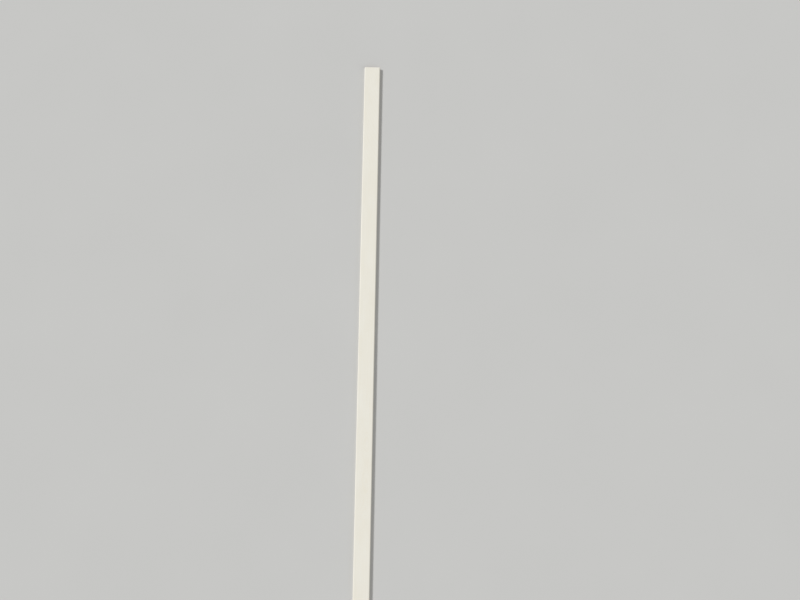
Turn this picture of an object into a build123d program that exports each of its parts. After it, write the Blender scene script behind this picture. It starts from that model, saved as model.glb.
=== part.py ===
from build123d import *
from itertools import cycle
from math import ceil
import os

# A plain architrave moulding, 12 x 58 mm, in one stock length. It is glued up from finger-jointed
# blocks of pine, planed to its section in one pass, and painted on its face and long edges.
# It lies on its back, with the painted face up. X runs across the width, Y along the length and
# Z through the thickness. The origin is the middle of the back. Sizes are in millimetres.

# The planed section
width = 58.0
thickness = 12.0
front_round = 3.0  # radius of the two arrises beside the face
back_ease = 0.5  # chamfer that takes the sharpness off the two back corners

# The stock, and its blocks from the +Y end. The last block is whatever the end saw leaves.
stock_length = 2200.0
block_lengths = (370.0, 940.0, 345.0, 620.0)

# The finger joint. Its fingers lie side by side through the thickness and run right across the
# width, so the long edges show the zigzag, and the face and the back show one straight line.
finger_length = 10.0
finger_pitch = 3.8
finger_tip = 0.6  # width of the blunt end of a finger, and of the slot that it fills


def planed_section():
    """The outline that the planer leaves, standing on its back, seen along the length."""
    outline = Rectangle(width, thickness, align=(Align.CENTER, Align.MIN))
    outline = fillet(outline.vertices().group_by(Axis.Y)[-1], front_round)
    return chamfer(outline.vertices().group_by(Axis.Y)[0], back_ease)


def joint_places():
    """Where the joints' lines show on the back, as distances from the +Y end."""
    places = []
    distance = 0.0
    for length in cycle(block_lengths):
        distance += length
        if distance + finger_length >= stock_length:
            return places
        places.append(distance)


mid_thickness = thickness / 2
fingers_each_side = ceil(mid_thickness / finger_pitch)  # of the finger at mid-thickness
saw_reach = (fingers_each_side + 0.5) * finger_pitch  # past both faces, and ends in a slot


def square_cut(y):
    """The end saw's straight line, as points in Y and Z from below the back to above the face."""
    return [(y, mid_thickness - saw_reach), (y, mid_thickness + saw_reach)]


def finger_cut(y):
    """A joint's line from below to above. Its slots end at y, and its fingers point to -Y."""
    tip_y = y - finger_length
    slot = (finger_pitch - finger_tip) / 2  # from a finger's middle to the flat of the next slot
    points = []
    for number in range(-fingers_each_side, fingers_each_side + 1):
        middle = mid_thickness + number * finger_pitch
        points += [
            (y, middle - slot),
            (tip_y, middle - finger_tip / 2),
            (tip_y, middle + finger_tip / 2),
            (y, middle + slot),
        ]
    below, above = square_cut(y)
    return [below, *points, above]


def pine_block(moulding, upper, lower):
    """The stretch of the moulding between two cuts, which are given as seen on its long edge."""
    outline = Polyline(*upper, *reversed(lower), close=True)
    stretch = extrude(make_face(Plane.YZ * outline), amount=width, both=True)
    return moulding & stretch


upper_end = Plane.XZ.offset(-stock_length / 2)  # its normal runs down the length, to -Y
moulding = extrude(upper_end * planed_section(), amount=stock_length)

top_y = stock_length / 2
cuts = [square_cut(top_y)]
cuts += [finger_cut(top_y - distance) for distance in joint_places()]
cuts += [square_cut(-top_y)]

os.makedirs("parts", exist_ok=True)
for number, (upper, lower) in enumerate(zip(cuts, cuts[1:]), 1):
    export_step(pine_block(moulding, upper, lower), f"parts/pine_block_{number}.step")
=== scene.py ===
# %% [markdown]
# # A painted pine architrave
# An architrave is the flat trim that covers the joint between a door's lining and the wall. This
# one is glued up from blocks of pine with finger joints, planed to its section in one pass, and
# painted at the factory on its face and its two long edges. Its back and its sawn ends stay bare.
#
# The blocks are modelled already, at their real size, and nothing here moves or reshapes them.
# These cells place the camera, give the blocks their finish, and then lay the floor and set the
# light. Blender's lengths are in metres. Inside the shaders they are in millimetres, as a
# joiner's are.

# %% Load the packed blocks
from functools import cached_property
from math import tau
from typing import Callable, NamedTuple

import bpy
from mathutils import Matrix, Vector


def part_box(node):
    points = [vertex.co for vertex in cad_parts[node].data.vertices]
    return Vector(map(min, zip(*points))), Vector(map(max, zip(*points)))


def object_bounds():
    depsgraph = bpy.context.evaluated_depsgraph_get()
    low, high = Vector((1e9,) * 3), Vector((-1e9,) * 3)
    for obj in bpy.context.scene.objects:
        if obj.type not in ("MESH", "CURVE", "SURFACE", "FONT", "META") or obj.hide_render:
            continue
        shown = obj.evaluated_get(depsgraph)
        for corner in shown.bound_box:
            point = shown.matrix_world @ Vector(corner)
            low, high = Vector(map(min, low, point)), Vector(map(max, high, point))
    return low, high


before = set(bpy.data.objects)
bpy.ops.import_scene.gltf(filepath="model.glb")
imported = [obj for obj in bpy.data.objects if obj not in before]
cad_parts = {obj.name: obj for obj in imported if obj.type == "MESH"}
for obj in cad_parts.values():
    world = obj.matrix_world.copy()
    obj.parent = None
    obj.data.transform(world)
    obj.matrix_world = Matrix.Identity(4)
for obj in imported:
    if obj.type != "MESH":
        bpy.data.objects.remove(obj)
cad_low, cad_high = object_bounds()
print("blocks:", *sorted(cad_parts), "in a box of", *(cad_high - cad_low), "m")

# %% [markdown]
# ## The camera
# The photograph was taken with a phone held upright in front of the moulding. A camera could be
# turned by eye until the render fits, but its place can be worked out instead. The moulding's
# width is known, so wherever the photograph shows both long edges, their distance apart in pixels
# says how far away that stretch is. Two such places, the upper end and the picture's lowest row,
# give the line of the moulding as the camera saw it. Turned inside out, that line is the camera's
# own place. The moulding is stored lying on its back, so the same view looks down on it.

# %% Place the camera
PICTURE = Vector((800, 600))  # pixels across and down
FOCAL = 433  # pixels: a phone's 26 mm lens, if 36 mm spans the 600 pixels of its long side
SENSOR = 36  # mm across the picture's 800 pixels
UPPER_END_ROW = 67.3  # the pixel row of the sawn end
UPPER_END_EDGES = (364.7, 380.0)  # the pixel columns of the two long edges there
LOWEST_ROW = PICTURE.y
LOWEST_EDGES = (352.5, 369.3)

width = cad_high.x - cad_low.x


def seen_from_camera(row, edges):
    """The middle of the face on one row of the picture: X to the right, Y up, Z out of it."""
    distance = FOCAL * width / (edges[1] - edges[0])
    column = (edges[0] + edges[1]) / 2
    on_picture = Vector((column - PICTURE.x / 2, PICTURE.y / 2 - row, -FOCAL))
    return on_picture * distance / FOCAL


upper = seen_from_camera(UPPER_END_ROW, UPPER_END_EDGES)
lower = seen_from_camera(LOWEST_ROW, LOWEST_EDGES)
along = (upper - lower).normalized()
across = along.cross(Vector((0, 0, 1))).normalized()
turn = Matrix((across, along, across.cross(along))).transposed()
upper_end = Vector((0, cad_high.y, cad_high.z))
moulding_seen = Matrix.Translation(upper - turn @ upper_end) @ turn.to_4x4()

camera = bpy.data.objects.new("camera", bpy.data.cameras.new("camera"))
bpy.context.scene.collection.objects.link(camera)
bpy.context.scene.camera = camera
camera.data.sensor_width = SENSOR
camera.data.lens = SENSOR * FOCAL / PICTURE.x
camera.matrix_world = moulding_seen.inverted()
print("the camera sees", round((upper - lower).length, 2), "m of the moulding")

# %% [markdown]
# ## Writing a shader as sums
# A finish is a handful of sums about a point on the surface: how deep it lies below the paint,
# which year's growth it cuts, how much spray drifted onto it. Every sum could be a Math node set
# by hand, but then a line of algebra takes twenty lines of code. So one small class stands for a
# socket and answers to Python's operators: each operator adds its Math node, and the expression
# reads as the algebra does. Every other node comes from one method, node().

# %% Values that vary over a surface
def operator_pair(operation):
    """The two methods of an operator: with the value on its left, and with the value on its right."""

    def value_first(self, other):
        return self.maths(operation, self, other)

    def value_second(self, other):
        return self.maths(operation, other, self)

    return value_first, value_second


class Value:
    """A number, a colour or a place that varies over a surface. Operators on a number add nodes."""

    __add__, __radd__ = operator_pair("ADD")
    __sub__, __rsub__ = operator_pair("SUBTRACT")
    __mul__, __rmul__ = operator_pair("MULTIPLY")
    __truediv__, __rtruediv__ = operator_pair("DIVIDE")
    __pow__, __rpow__ = operator_pair("POWER")
    __mod__, __rmod__ = operator_pair("FLOORED_MODULO")
    __gt__, __lt__ = operator_pair("GREATER_THAN")

    def __init__(self, shader, socket):
        self.shader = shader
        self.socket = socket

    def maths(self, operation, *numbers):
        return self.shader.node("ShaderNodeMath", {"operation": operation}, dict(enumerate(numbers)))

    def __abs__(self):
        return self.maths("ABSOLUTE", self)

    def at_least(self, other):
        return self.maths("MAXIMUM", self, other)

    def at_most(self, other):
        return self.maths("MINIMUM", self, other)

    def wave(self, length):
        """Swings between -1 and 1 once in every length."""
        return self.maths("SINE", self * (tau / length))

    def between(self, low, high):
        """Goes from low to high as this value goes from 0 to 1."""
        return self * (high - low) + low

    def climb(self, low, high, shape="SMOOTHSTEP"):
        """0 up to low, 1 from high on, and a climb between them."""
        sockets = {"Value": self, "From Min": low, "From Max": high}
        return self.shader.node("ShaderNodeMapRange", {"interpolation_type": shape}, sockets)


print("a value answers to", *(name for name in vars(Value) if callable(vars(Value)[name])))


# %% Patterns of soft noise
class Pattern(NamedTuple):
    """A soft noise that varies about 0.5."""

    number: int  # is added to a board's seed, so that no two patterns on a board are alike
    size: tuple  # of its blotches, in mm along X, Y and Z
    detail: float = 2  # how many layers of finer noise lie on it


print("a pattern is described by its", *Pattern._fields)


# %% Shaders
MM = 0.001
MIX_FIRST, MIX_SECOND, MIX_RESULT = 6, 7, 2  # a Mix node's sockets for colours


class Shader:
    """The nodes of one material, or of the world."""

    def __init__(self, owner):
        owner.use_nodes = True
        self.tree = owner.node_tree
        self.tree.nodes.clear()

    def node(self, kind, settings=(), sockets=(), output=0):
        """Adds a node, sets it up, gives its sockets values or links, and returns an output."""
        made = self.tree.nodes.new(kind)
        for name, setting in dict(settings).items():
            setattr(made, name, setting)
        for name, given in dict(sockets).items():
            if isinstance(given, Value):
                self.tree.links.new(given.socket, made.inputs[name])
            else:
                made.inputs[name].default_value = given
        return Value(self, made.outputs[output]) if made.outputs else None

    def vector(self, operation, sockets):
        return self.node("ShaderNodeVectorMath", {"operation": operation}, sockets)

    def mix(self, share, first, second):
        """A colour that goes from the first to the second as share goes from 0 to 1."""
        sockets = {"Factor": share, MIX_FIRST: first, MIX_SECOND: second}
        return self.node("ShaderNodeMix", {"data_type": "RGBA"}, sockets, MIX_RESULT)

    def shaded(self, colour, brightness):
        return self.vector("SCALE", {0: colour, "Scale": brightness})

    @cached_property
    def place(self):
        """Where a point of the moulding lies, in mm."""
        where = self.node("ShaderNodeTexCoord", output="Object")
        return self.vector("SCALE", {0: where, "Scale": 1 / MM})

    def axis(self, name, place=None):
        """How far along X, Y or Z a place is, in mm."""
        return self.node("ShaderNodeSeparateXYZ", (), {0: place or self.place}, output=name)

    def blotches(self, pattern, seed, output="Fac"):
        """A pattern, as it falls on a board with that seed."""
        stretched = self.vector("DIVIDE", {0: self.place, 1: pattern.size})
        own_seed = seed + pattern.number
        sockets = {"Vector": stretched, "W": own_seed, "Scale": 1.0, "Detail": pattern.detail}
        return self.node("ShaderNodeTexNoise", {"noise_dimensions": "4D"}, sockets, output)

    def by_year(self, years):
        """Soft noise about 0.5 that depends on nothing but the number of years."""
        sockets = {"W": years, "Scale": 1.0}
        return self.node("ShaderNodeTexNoise", {"noise_dimensions": "1D"}, sockets)


print("a millimetre is", MM, "of Blender's units")


# %% Colours
def screen_colour(red, green, blue):
    """A colour given as a screen shows it, from 0 to 255, in the linear light of the shaders."""
    shares = [shade / 255 for shade in (red, green, blue)]
    return (*(s / 12.92 if s < 0.04045 else ((s + 0.055) / 1.055) ** 2.4 for s in shares), 1.0)


print("white on the screen is", screen_colour(255, 255, 255))

# %% [markdown]
# ## Pine, as it grew
# The bare wood shows on the back and on the two sawn ends. It could be a picture of grain laid on
# each face, but then the lines wouldn't meet at the corners, and an end would show stripes in
# place of rings. Here each block is sawn from a log of its own. The shader works out how far a
# point lies from the middle of that log, and so in which year it grew. One sum then serves the
# back, the edges and the end grain, and where the log's middle lies decides the figure: straight
# lines if it is far to the side, arches and closed ovals if it is behind the board.
#
# Within a year, pine goes slowly from pale spring wood to a dark summer line, and stops sharply.
# No two years are alike: a dry one leaves a narrow ring, and some lines are darker than others.

# %% A board and its log
class Board(NamedTuple):
    """How one block was sawn from its log. Lengths are in mm."""

    seed: float  # settles how every pattern falls on it
    heart: tuple  # X and Z of the log's middle, beside the middle of the block
    lean: tuple  # how far X and Z of it shift for each mm along the block
    ring: float  # the width of one year's growth
    wood: tuple  # the colours of its spring and its summer wood
    crook: tuple = (0, 1, 0)  # how far the log waves up and down, over what length, and a crest's Y
    stray: Callable = None  # where wood of another kind shows
    stray_wood: tuple = None  # the colours of its spring and its summer wood


print("a board is described by its", *Board._fields)

# %% Growth rings
WANDERING = Pattern(0, (50, 240, 50), detail=4)
WANDER = 8  # mm: how far the rings stray from true circles
FRAYING = Pattern(6, (0.5, 14, 0.5))
FRAY = 0.3  # mm: how far a line jumps from one strand of fibres to the next
FRAY_DARKNESS = 0.4  # how much darker or paler it may get there
SPELL = 10 / 3  # years: about how long a run of wide or of narrow rings lasts
UNEVEN_YEARS = 1.5  # how many years such runs can push a ring from where even growth puts it
LINE_START = (0.05, 0.95)  # the part of a year at which its line starts, at the earliest and latest
LINE_PEAK = 0.94  # the part of a year at which its line is darkest
LINE_STOP = (0.95, 1.0)  # the part of a year over which its line stops
LINE_CURVE = 1.4  # above 1, a line darkens slowly at first
DARKNESS = (0.3, 1.8)  # how dark a line is, in the palest year and in the darkest
START_STRIDE, DARKNESS_STRIDE = 5.3, 3.7  # so long that one year tells nothing about the next


def from_centre(x, z):
    """How far a point is from a centre, if it lies x beside it and z above it."""
    return (x * x + z * z) ** 0.5


def summer_wood(shader, board, middle):
    """About 1 on the dark line that ends a year's growth, and 0 in the pale wood before it."""
    along = shader.axis("Y") - middle
    rise, spacing, crest_y = board.crook
    crook = (shader.axis("Y") - (crest_y - spacing / 4)).wave(spacing) * rise
    wander = shader.blotches(WANDERING, board.seed, output="Color")
    bent = shader.vector("MULTIPLY_ADD", {0: wander, 1: (WANDER, 0, WANDER), 2: shader.place})
    x = shader.axis("X", bent) - (along * board.lean[0] + board.heart[0])
    z = shader.axis("Z", bent) - (along * board.lean[1] + board.heart[1] + crook)

    frayed = shader.blotches(FRAYING, board.seed)
    years = (from_centre(x, z) + frayed * FRAY) / board.ring
    years = years + shader.by_year(years / SPELL + board.seed) * UNEVEN_YEARS

    season = years % 1
    whole_years = years - season
    start = shader.by_year(whole_years * START_STRIDE).between(*LINE_START)
    darkness = shader.by_year(whole_years * DARKNESS_STRIDE).between(*DARKNESS)
    darkness = darkness + frayed.between(-FRAY_DARKNESS, FRAY_DARKNESS)
    line = season.climb(start, LINE_PEAK, "LINEAR") ** LINE_CURVE
    return line * (1 - season.climb(*LINE_STOP)) * darkness


print("a line is darkest at", LINE_PEAK, "of its year and gone at", LINE_STOP[1])

# %% [markdown]
# ## The colour of the bare wood
# Over the rings lie the things that make wood look like wood from close by: fibres, thousands of
# them, each a little lighter or darker than the next, and the resin canals that show as short
# brown dashes. One noise could stand for all of it, but it would have one size, and wood varies
# from one fibre to the next and from one hand's breadth to the next. So several are laid over
# each other, all of them stretched along Y, as the trunk grew. An end shows the same fibres end
# on, and drinks in more light, so it is darker.

# %% Bare pine
GRAIN = (  # each pattern, and how much lighter its palest parts are than its darkest
    (Pattern(1, (0.3, 12, 0.3), detail=4), 0.5),  # fibres
    (Pattern(2, (1.6, 90, 1.6), detail=3), 0.28),  # strands of fibres
    (Pattern(3, (26, 170, 26)), 0.22),  # broad changes of shade
)
DARKEST_GRAIN = 0.52  # how bright the wood is where all of them are darkest
CANALS = Pattern(4, (0.45, 8, 0.45))
CANAL_PEAKS = (0.67, 0.75)  # only the peaks of that noise are canals
CANAL_SHADE = 0.22  # how much darker they are
END_SKIN = 0.1  # mm: what lies this near to an end is taken to be its sawn face
END_SHADE = 0.8  # how much light a sawn end gives back, beside a planed face
half_width, half_length = cad_high.x / MM, cad_high.y / MM


def sawn_end(shader):
    """1 on the two sawn ends, and 0 elsewhere."""
    return abs(shader.axis("Y")).climb(half_length - END_SKIN, half_length - END_SKIN / 2)


def bare_pine(shader, board, summer):
    """The colour of the wood where no paint covers it."""
    colour = shader.mix(summer, *board.wood)
    if board.stray:
        stray = shader.mix(summer, *board.stray_wood)
        colour = shader.mix(board.stray(shader, board), colour, stray)
    brightness = DARKEST_GRAIN
    for pattern, contrast in GRAIN:
        brightness = brightness + shader.blotches(pattern, board.seed) * contrast
    canals = shader.blotches(CANALS, board.seed).climb(*CANAL_PEAKS)
    brightness = brightness - canals * CANAL_SHADE
    return shader.shaded(colour, brightness * sawn_end(shader).between(1, END_SHADE))


print("the sawn ends are", round(half_length), "mm from the middle")

# %% [markdown]
# ## Four boards, four figures
# Finger-jointed stock is made from short clear lengths cut out of boards that have knots, so one
# block has little to do with the next: here a red-brown one from the heart of a pine, sawn across
# its slope, with a tongue of sapwood at its joint; a pale one with straight lines; one sawn flat,
# with two ovals and a streak of heartwood along one edge; and a plain tan one.
#
# Each could have a material written out for it, but the sums are the same for all four. So a
# board is only the few numbers and colours in which it differs, and a function where wood of
# another kind shows in it. Where heartwood meets sapwood, the border follows the fibres, so it
# is feathered along them.

# %% Colour the woods
HEARTWOOD = (screen_colour(190, 130, 80), screen_colour(122, 69, 26))  # in spring, and in summer
SAPWOOD = (screen_colour(232, 191, 123), screen_colour(188, 138, 74))
YELLOW_PINE = (screen_colour(200, 155, 92), screen_colour(142, 97, 36))
TAN_PINE = (screen_colour(184, 145, 85), screen_colour(136, 97, 52))
RED_STREAK = (screen_colour(134, 82, 46), screen_colour(98, 55, 28))

print("sapwood in spring is", SAPWOOD[0])

# %% Find the stray wood
TONGUE_X = (27, 13, -26)  # mm: where the tongue starts, comes to its point, and ends
TONGUE_LENGTH = 40
TONGUE_BORDER = (-3, 5)  # mm: from where it is all heartwood to where it is all sapwood
TONGUE_WAVES = Pattern(7, (6, 26, 6))
TONGUE_WAVE = 15  # mm: how far the border waves to and fro
FEATHERS = Pattern(8, (0.6, 9, 0.6), detail=3)
FEATHER = 6  # mm: how far single fibres reach across it
STREAK_BORDER = (9.5, 11)  # mm in from the edge: from where it is all dark to where it is all pale
STREAK_WAVES = Pattern(7, (2, 90, 2))
STREAK_WAVE = 1.5  # mm: how far that border waves to and fro


def block_ends(name):
    """The lowest and the highest Y of a block, in mm."""
    low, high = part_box(name)
    return low.y / MM, high.y / MM


def sapwood_tongue(shader, board):
    """Sapwood that runs up from the joint below the block, and comes to a point."""
    slot_line = block_ends("pine_block_2")[1]
    start, tip, end = TONGUE_X
    x = shader.axis("X")
    steep_side = (start - x) / (start - tip)
    long_side = (x - end) / (tip - end)
    waves = shader.blotches(TONGUE_WAVES, board.seed).between(-TONGUE_WAVE, TONGUE_WAVE)
    feathers = shader.blotches(FEATHERS, board.seed).between(-FEATHER, FEATHER)
    border = slot_line + steep_side.at_most(long_side) * TONGUE_LENGTH + waves + feathers
    return (border - shader.axis("Y")).climb(*TONGUE_BORDER)


def heartwood_streak(shader, board):
    """A dark strip along one long edge."""
    waves = shader.blotches(STREAK_WAVES, board.seed).between(-STREAK_WAVE, STREAK_WAVE)
    inward = shader.axis("X") + half_width + waves
    return 1 - inward.climb(*STREAK_BORDER)


print("the tongue starts from the joint at", round(block_ends("pine_block_2")[1]), "mm")

# %% Describe the boards
boards = {
    "pine_block_1": Board(
        seed=1.3,
        heart=(70, -90),
        lean=(0, 0.22),
        ring=4.6,
        wood=HEARTWOOD,
        stray=sapwood_tongue,
        stray_wood=SAPWOOD,
    ),
    "pine_block_2": Board(seed=2.7, heart=(75, -80), lean=(0.014, 0.006), ring=3.4, wood=SAPWOOD),
    "pine_block_3": Board(
        seed=3.9,
        heart=(11, -55),
        lean=(0, 0.004),
        ring=1.5,
        wood=YELLOW_PINE,
        crook=(1.2, 128, -303),
        stray=heartwood_streak,
        stray_wood=RED_STREAK,
    ),
    "pine_block_4": Board(seed=5.1, heart=(-95, 75), lean=(0.012, 0.008), ring=4.2, wood=TAN_PINE),
}
print({name: [round(end) for end in block_ends(name)] for name in boards})

# %% [markdown]
# ## Where the paint ends
# The spray reaches what the planer shaped: the face, the two rounded arrises and the long edges.
# Which parts those are could be told by the direction that a face looks in, but a finger's sides
# look almost the same way as the face does, and they are bare inside the joint. Depth is the
# better test. Every painted point lies at no depth below the planed outline, and bare wood begins
# below the film. A sawn end then shows the film as a white rim, which is what the saw leaves.
#
# A little spray drifts round the corners, so the back has a ragged pale line along both edges,
# whole at the corner and ending in droplets.

# %% Find the paint
FRONT_ROUND = 3  # mm: radius of the arrises beside the face
PAINT_FILM = (0.105, 0.195)  # mm: where it fades into the wood, a little deeper than a real film
DRIFT_WIDTH = 5  # mm: how far the spray reaches in over the back
DRIFT_EDGE = Pattern(5, (3, 60, 3), detail=4)
DRIFT_RAGGED = 3  # mm: how much further or less far it reaches in places
DRIFT_CURVE = 1.5  # above 1, the spray thins out quickly at first
DROPLETS = Pattern(9, (0.35, 0.45, 0.35), detail=3)
DROPLET = 0.9  # how much more or less paint they bring to a spot
DRIFT_HEIGHT = (0.3, 0.8)  # mm above the back: from where the drift is whole to where it is gone
thickness = cad_high.z / MM


def depth_below_outline(shader):
    """How deep a point lies below the face, the arrises and the long edges."""
    beside = abs(shader.axis("X")) - (half_width - FRONT_ROUND)
    above = shader.axis("Z") - (thickness - FRONT_ROUND)
    in_corner = from_centre(beside.at_least(0), above.at_least(0))
    return FRONT_ROUND - in_corner - beside.at_least(above).at_most(0)


def paint_cover(shader, board):
    """1 under whole paint, 0 on bare wood, and between them where spray has drifted."""
    sprayed = 1 - depth_below_outline(shader).climb(*PAINT_FILM)
    ragged = shader.blotches(DRIFT_EDGE, board.seed).between(-DRIFT_RAGGED, DRIFT_RAGGED)
    inward = half_width - abs(shader.axis("X")) + ragged
    nearness = 1 - inward.climb(0, DRIFT_WIDTH, "LINEAR")
    droplets = shader.blotches(DROPLETS, board.seed).between(-DROPLET, DROPLET)
    drifted = nearness ** DRIFT_CURVE + droplets * nearness
    on_back = 1 - shader.axis("Z").climb(*DRIFT_HEIGHT)
    return sprayed.at_least(drifted * on_back * (1 - sawn_end(shader)))


print("the planed outline is", round(half_width * 2, 2), "by", round(thickness, 2), "mm")

# %% [markdown]
# ## The joints under the paint
# Where two blocks meet, the glue line is sunk by a hair, because the wood on each side of it
# swells and shrinks. Through the paint that shows as a faint straight line across the face and a
# zigzag on the long edges. It could be a thin piece of geometry, but at a few hundredths of a
# millimetre it is relief: the shader finds how far a point lies from the joint's line and sinks
# it there. The line's two ends come from the blocks, which overlap by the length of a finger.

# %% Find the joints
FINGER_PITCH = 3.8  # mm, as the sizes below
FINGER_TIP = 0.6
LINE_HALF_WIDTH = 0.3
FLANK = (0.02, 0.98)  # the part of the way down a finger that is its flank


def beside_joint(shader, slots_y, tips_y):
    """How far a point lies from the line of one joint, seen on a long edge."""
    slot_half = (FINGER_PITCH - FINGER_TIP) / 2
    tip_half = FINGER_TIP / 2
    from_middle = shader.axis("Z") - (thickness - FINGER_PITCH) / 2
    from_finger = abs(from_middle % FINGER_PITCH - FINGER_PITCH / 2)
    down_finger = 1 - from_finger.climb(tip_half, slot_half, "LINEAR")
    line_y = slots_y - (slots_y - tips_y) * down_finger
    off_line = abs(shader.axis("Y") - line_y)
    # A flank is steep, so a long step along Y leads only a little way from it.
    steepness = (slot_half - tip_half) / (slots_y - tips_y)
    on_flank = (down_finger > FLANK[0]) * (down_finger < FLANK[1])
    return off_line * on_flank.between(1, steepness)


def joint_lines(shader, name):
    """1 on the joints at the two ends of a block, and 0 away from them."""
    order = sorted(boards)
    lines = 0
    for upper_block, lower_block in zip(order, order[1:]):
        if name in (upper_block, lower_block):
            distance = beside_joint(shader, block_ends(lower_block)[1], block_ends(upper_block)[0])
            lines = lines + (1 - distance.climb(0, LINE_HALF_WIDTH))
    return lines


finger_length = block_ends("pine_block_2")[1] - block_ends("pine_block_1")[0]
print("the fingers are", round(finger_length, 2), "mm long")

# %% [markdown]
# ## The marks of the planer and the saw
# The planer's knives turn while the moulding runs past them, so they leave a washboard of shallow
# hollows all along it. The saw leaves the arcs of its teeth on the two ends. Both are far too
# shallow to model, but a low light finds them, so they go into the relief of the bare wood. Saw
# marks are never quite even, so a soft noise pushes them to and fro.

# %% Mark the bare wood
KNIFE_PITCH = 1.7  # mm, as the sizes below
KNIFE_DEPTH = 0.002
SAW_CENTRE = (-90, 120)  # X and Z of the saw's axle
SAW_PITCH = 1.3
SAW_DEPTH = 0.012
SAW_SWAYING = Pattern(13, (5, 5, 5))
SAW_SWAY = 2  # how far that noise pushes its arcs


def tool_marks(shader, board):
    """The relief, in mm, that the planer left along the wood and the saw left on its ends."""
    from_axle = from_centre(shader.axis("X") - SAW_CENTRE[0], shader.axis("Z") - SAW_CENTRE[1])
    sway = shader.blotches(SAW_SWAYING, board.seed) * SAW_SWAY
    saw_marks = (from_axle + sway).wave(SAW_PITCH) * SAW_DEPTH
    knife_marks = shader.axis("Y").wave(KNIFE_PITCH) * KNIFE_DEPTH
    return sawn_end(shader).between(knife_marks, saw_marks)


print("knife marks along the back:", round(half_length * 2 / KNIFE_PITCH))

# %% [markdown]
# ## The paint, and the whole finish
# Factory paint on softwood is never quite flat. It dries with the fine pebbling of a spray gun,
# it is a little thinner and so a little yellower over the hard summer lines, and those stand up
# through it by a hundredth of a millimetre. Paint and wood could be two shaders with a mask
# between them, but they differ only in colour, roughness and relief. So there is one shader, in
# which the paint's cover mixes those three. The relief is written in mm and goes to one Bump
# node, so that it has its real depth.

# %% Mix the paint
PAINT = screen_colour(232, 230, 221)
THIN_PAINT = screen_colour(225, 218, 199)
SMUDGES = Pattern(10, (30, 70, 30), detail=4)
THIN_SMUDGES, THIN_JOINTS, THIN_LINES = 0.5, 0.25, 0.15  # how thin it is there, if 1 is THIN_PAINT
SMUDGE_SHADE = (1.01, 0.99)  # how bright it is, from where the smudges begin to where they peak
PAINTED_JOINT_SHADE = 0.03  # how much darker a joint is


def paint_colour(shader, smudges, joints, summer):
    """White, and a little yellower where the paint is thin."""
    thin = smudges * THIN_SMUDGES + joints * THIN_JOINTS + summer * THIN_LINES
    brightness = smudges.between(*SMUDGE_SHADE) - joints * PAINTED_JOINT_SHADE
    return shader.shaded(shader.mix(thin, PAINT, THIN_PAINT), brightness)


print("whole paint is", PAINT, "and thin paint is", THIN_PAINT)

# %% Raise the relief
FIBRES = Pattern(12, (0.5, 26, 0.5), detail=3)
BARE_FIBRE_HEIGHT, PAINTED_FIBRE_HEIGHT = 0.02, 0.005  # mm, as the heights below
PEBBLES = Pattern(11, (1.6, 1.6, 1.6))
PEBBLE_HEIGHT = 0.03
LINE_HEIGHT = 0.01
JOINT_DEPTH = 0.03


def relief(shader, board, cover, fibres, joints, summer):
    """How high the surface stands, in mm."""
    pebbles = shader.blotches(PEBBLES, board.seed)
    on_paint = pebbles * PEBBLE_HEIGHT + fibres * PAINTED_FIBRE_HEIGHT
    on_wood = fibres * BARE_FIBRE_HEIGHT + tool_marks(shader, board)
    return cover.between(on_wood, on_paint) + summer * LINE_HEIGHT - joints * JOINT_DEPTH


print("a joint is", JOINT_DEPTH, "mm deep")

# %% Finish one block
PAINT_ROUGHNESS = (0.5, 0.62)  # from its shiniest smudges to its dullest
WOOD_ROUGHNESS = (0.56, 0.76)  # from its shiniest fibres to its dullest
SHINE = 0.35  # 0.5 is a clear varnish: bare wood and a primer's chalky paint have less
BARE_JOINT_SHADE = 0.3  # how much darker the glue is than the wood


def painted_pine(name, board):
    """The material of one block: bare pine with paint where the spray reached."""
    material = bpy.data.materials.new(name + "_finish")
    shader = Shader(material)
    summer = summer_wood(shader, board, sum(block_ends(name)) / 2)
    cover = paint_cover(shader, board)
    joints = joint_lines(shader, name)
    smudges = shader.blotches(SMUDGES, board.seed)
    fibres = shader.blotches(FIBRES, board.seed)

    wood = shader.shaded(bare_pine(shader, board, summer), 1 - joints * BARE_JOINT_SHADE)
    colour = shader.mix(cover, wood, paint_colour(shader, smudges, joints, summer))
    roughness = cover.between(fibres.between(*WOOD_ROUGHNESS), smudges.between(*PAINT_ROUGHNESS))
    height = relief(shader, board, cover, fibres, joints, summer)
    normal = shader.node("ShaderNodeBump", (), {"Height": height, "Distance": MM})

    looks = {"Base Color": colour, "Roughness": roughness, "Specular IOR Level": SHINE}
    surface = shader.node("ShaderNodeBsdfPrincipled", (), {**looks, "Normal": normal})
    shader.node("ShaderNodeOutputMaterial", (), {"Surface": surface})
    return material


for name, board in boards.items():
    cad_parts[name].material_slots[0].material = painted_pine(name, board)
    print(name, "has", len(bpy.data.materials[name + "_finish"].node_tree.nodes), "nodes")

# %% [markdown]
# ## The floor
# A plain pale floor, a shade darker than the paint, so that the white edges stand out against it.
# A solid floor would hide the bare back from below, and the back is where the wood shows. So the
# floor can be seen through from underneath, and has a window where the back rests on it. It is
# quite matt, so it is as pale far away as it is near by.

# %% Lay the floor
FLOOR_REACH = 30.0  # m to each side
FLOOR_COLOURS = (screen_colour(196, 196, 194), screen_colour(199, 199, 197))
MOTTLING = Pattern(0, (300, 300, 300))
BACK_EASE = 0.5  # mm: the chamfer of the two back corners


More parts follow.
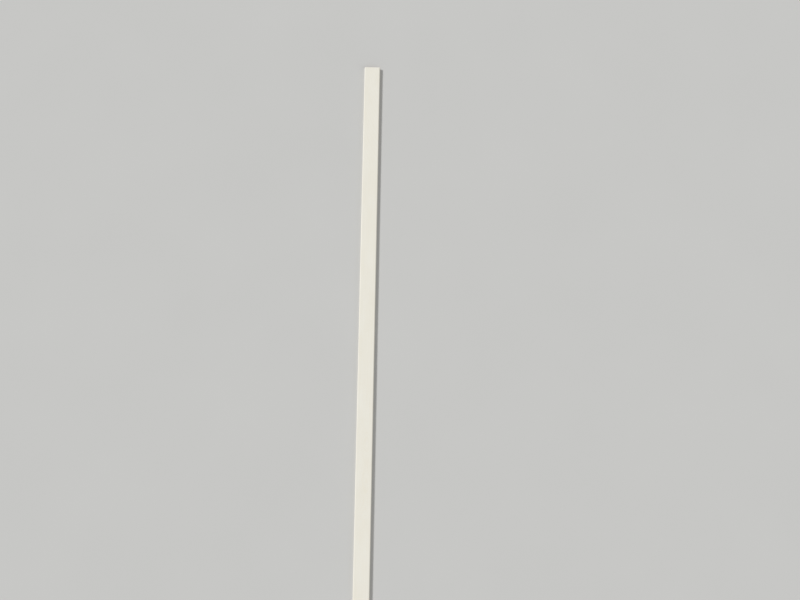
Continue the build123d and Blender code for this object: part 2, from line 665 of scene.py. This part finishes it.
def floor_mesh():
    """A square floor with a window as large as the flat of the back."""
    half_back = Vector((cad_high.x - BACK_EASE * MM, cad_high.y))
    corners = ((-1, -1), (1, -1), (1, 1), (-1, 1))
    count = len(corners)
    outer = [(x * FLOOR_REACH, y * FLOOR_REACH, 0) for x, y in corners]
    inner = [(x * half_back.x, y * half_back.y, 0) for x, y in corners]
    after = [(corner + 1) % count for corner in range(count)]
    sides = [(this, after[this], after[this] + count, this + count) for this in range(count)]
    mesh = bpy.data.meshes.new("floor")
    mesh.from_pydata(outer + inner, [], sides)
    return mesh


floor = bpy.data.objects.new("floor", floor_mesh())
bpy.context.scene.collection.objects.link(floor)
floor.data.materials.append(bpy.data.materials.new("floor_finish"))
shader = Shader(floor.data.materials[0])
mottled = shader.mix(shader.blotches(MOTTLING, seed=0), *FLOOR_COLOURS)
solid = shader.node("ShaderNodeBsdfDiffuse", (), {"Color": mottled})
clear = shader.node("ShaderNodeBsdfTransparent")
from_below = shader.node("ShaderNodeNewGeometry", output="Backfacing")
seen = shader.node("ShaderNodeMixShader", (), {0: from_below, 1: solid, 2: clear})
shader.node("ShaderNodeOutputMaterial", (), {"Surface": seen})
print("floor faces look up:", [polygon.normal.z > 0 for polygon in floor.data.polygons])

# %% [markdown]
# ## The light
# The photograph is lit from the upper left, which brightens the left arris and draws a shadow a
# few pixels wide along the right edge. Box lamps would fall off over the moulding's two metres,
# so the key light is a broad sun. The sky evens it out, a weak sun from the right and the lower
# end reaches what the key doesn't, and a third shines up from below, for the bare back.

# %% Light the moulding
def add_sun(name, towards, strength, softness):
    """A sun that stands in the direction towards, and looks as wide as softness, in radians."""
    sun = bpy.data.objects.new(name, bpy.data.lights.new(name, "SUN"))
    bpy.context.scene.collection.objects.link(sun)
    sun.data.energy = strength
    sun.data.angle = softness
    sun.rotation_euler = Vector(towards).to_track_quat("Z", "Y").to_euler()
    print("the", name, "sun stands towards", towards)


add_sun("key", towards=(-1.0, 0.3, 0.95), strength=2.45, softness=0.2)
add_sun("fill", towards=(0.8, -0.6, 0.5), strength=0.5, softness=0.5)
add_sun("underside", towards=(-0.3, 0.2, -1.0), strength=1.56, softness=0.5)

# %% [markdown]
# ## The backdrop
# The sky lights the scene, but it shouldn't be seen: a pale backdrop should, with no edge where
# the floor ends. It could be a wall, but a wall throws light and shadow of its own. Here a ray
# from the camera, or one that comes off a glossy surface or through a clear one, finds a plain
# colour in place of the sky. That colour is the one that the lit floor has in the render.
# The view transform is Standard, at which a colour shows as it is written.

# %% Hang the backdrop
SKY_LIGHT = (0.42, 0.42, 0.42, 1)
BACKDROP = screen_colour(199, 199, 197)


def ray_is(shader, kind):
    """1 for rays of that kind, and 0 for others."""
    return shader.node("ShaderNodeLightPath", output=f"Is {kind} Ray")


world = bpy.data.worlds.new("studio")
bpy.context.scene.world = world
shader = Shader(world)
looked_at = ray_is(shader, "Camera").at_least(ray_is(shader, "Glossy"))
looked_at = looked_at.at_least(ray_is(shader, "Transmission"))
sky = shader.node("ShaderNodeBackground", (), {"Color": shader.mix(looked_at, SKY_LIGHT, BACKDROP)})
shader.node("ShaderNodeOutputWorld", (), {"Surface": sky})
bpy.context.scene.view_settings.view_transform = "Standard"
print("the backdrop is", BACKDROP, "and the sky is", SKY_LIGHT)

# %% [markdown]
# ## The size of the finish
# The finish adds no thickness that a ruler would find, so the dressed moulding has to fill the
# same box as the packed blocks.
